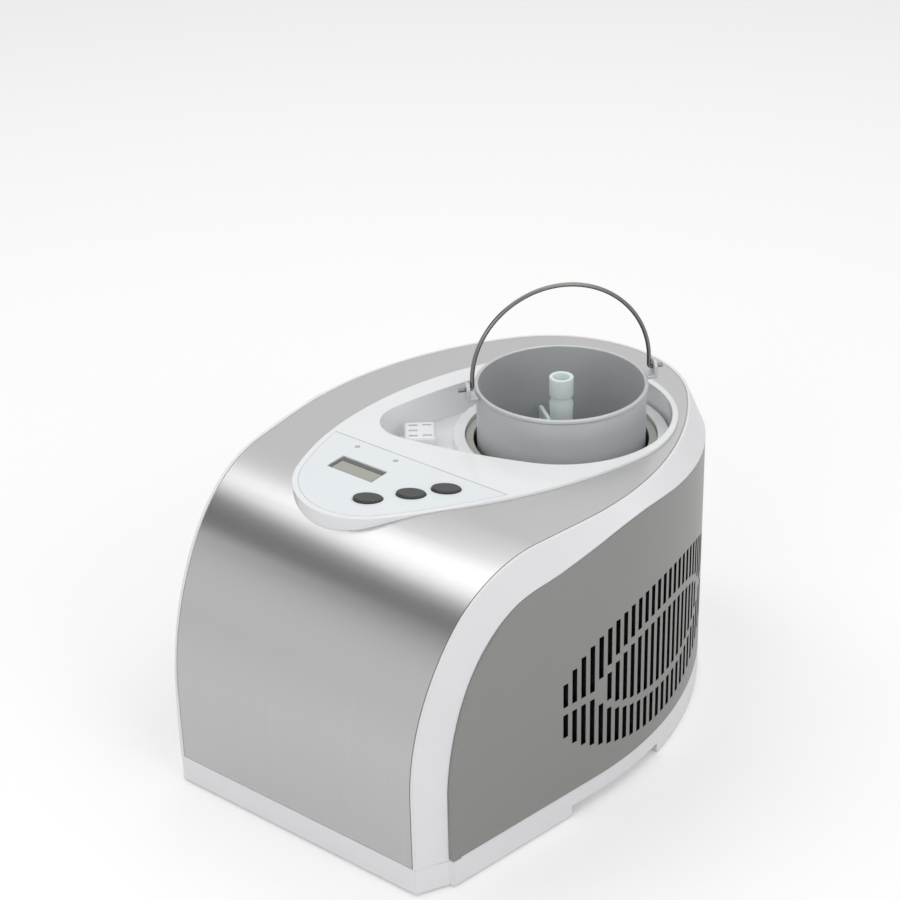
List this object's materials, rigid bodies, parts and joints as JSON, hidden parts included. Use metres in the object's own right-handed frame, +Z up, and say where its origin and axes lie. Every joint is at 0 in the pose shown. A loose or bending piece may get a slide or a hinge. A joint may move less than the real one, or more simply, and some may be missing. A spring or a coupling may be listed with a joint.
{
  "type": "ice cream maker",
  "caption": "Self-cooling table-top ice cream maker with a drop-shaped control insert, oval side grilles and a lift-out bowl with a bail and a mixing paddle.",
  "frame": {"origin": "middle of the footprint, on the surface that the feet stand on", "axes": "+X to the right of someone facing the front, +Y to the rear, +Z up"},
  "size_m": [0.285, 0.395, 0.3173],
  "materials": {
    "white_plastic": "glossy moulded ABS",
    "frame_plastic": "satin moulded ABS",
    "stainless": "brushed stainless sheet",
    "cover_grey": "satin grey lacquer",
    "rubber": "moulded rubber",
    "overlay_film": "printed film",
    "display_glass": "clear window",
    "display_body": "liquid crystal cell",
    "lamp_lens": "diffuse lens",
    "button_charcoal": "glossy moulded ABS",
    "board": "circuit board",
    "contact_metal": "stamped contact",
    "ring_grey": "moulded ring",
    "pot_aluminium": "drawn aluminium",
    "foam": "rigid foam",
    "bowl_aluminium": "matte anodised",
    "bail_steel": "polished wire",
    "dasher_plastic": "translucent polypropylene",
    "black_paint": "black enamel",
    "copper": "drawn copper tube",
    "fin_aluminium": "pressed fins",
    "fan_black": "moulded black plastic"
  },
  "bodies": {
    "housing": {"base_tray": "frame_plastic", "rubber_feet": "rubber", "body_frame": "frame_plastic", "front_top_panel": "stainless", "right_side_cover": "cover_grey", "left_side_cover": "cover_grey", "rear_cover": "cover_grey", "cord_gland": "rubber", "top_insert": "white_plastic", "control_overlay": "overlay_film", "display_window": "display_glass", "display_module": "display_body", "indicator_lenses": "lamp_lens", "control_board": "board", "connector_socket": "white_plastic", "socket_contacts": "contact_metal", "well_ring": "ring_grey", "cooling_pot": "pot_aluminium", "evaporator_sleeve": "pot_aluminium", "insulation_jacket": "foam", "compressor": "black_paint", "compressor_mounts": "rubber", "condenser": "fin_aluminium", "fan_shroud": "fan_black", "fan_motor": "black_paint", "refrigerant_pipes": "copper", "filter_drier": "copper", "power_board": "board"},
    "bowl": {"bowl": "bowl_aluminium", "bowl_ears": "white_plastic"},
    "bail": {"bail_handle": "bail_steel"},
    "dasher": {"dasher": "dasher_plastic"},
    "left_button": {"left_button": "button_charcoal"},
    "middle_button": {"middle_button": "button_charcoal"},
    "right_button": {"right_button": "button_charcoal"},
    "fan": {"fan_impeller": "fan_black"}
  },
  "joints": [
    {"name": "bowl_lift", "type": "slide", "parent": "housing", "child": "bowl", "axis": [0, 0, 1], "range_m": [-0.035, 0.115]},
    {"name": "bail_fold", "type": "hinge", "parent": "bowl", "child": "bail", "pos_m": [0.025, 0.0665, 0.246], "axis": [0.6018, 0.7986, 0], "range_deg": [-88, 88]},
    {"name": "dasher_spin", "type": "hinge", "parent": "bowl", "child": "dasher", "pos_m": [0.025, 0.0665, 0.15], "axis": [0, 0, 1], "continuous": true},
    {"name": "left_button_press", "type": "slide", "parent": "housing", "child": "left_button", "axis": [0, 0, -1], "range_m": [0, 0.001], "stiffness_N_per_m": 800},
    {"name": "middle_button_press", "type": "slide", "parent": "housing", "child": "middle_button", "axis": [0, 0, -1], "range_m": [0, 0.001], "stiffness_N_per_m": 800},
    {"name": "right_button_press", "type": "slide", "parent": "housing", "child": "right_button", "axis": [0, 0, -1], "range_m": [0, 0.001], "stiffness_N_per_m": 800},
    {"name": "fan_spin", "type": "hinge", "parent": "housing", "child": "fan", "pos_m": [-0.0935, 0.0245, 0.092], "axis": [1, 0, 0], "continuous": true}
  ]
}
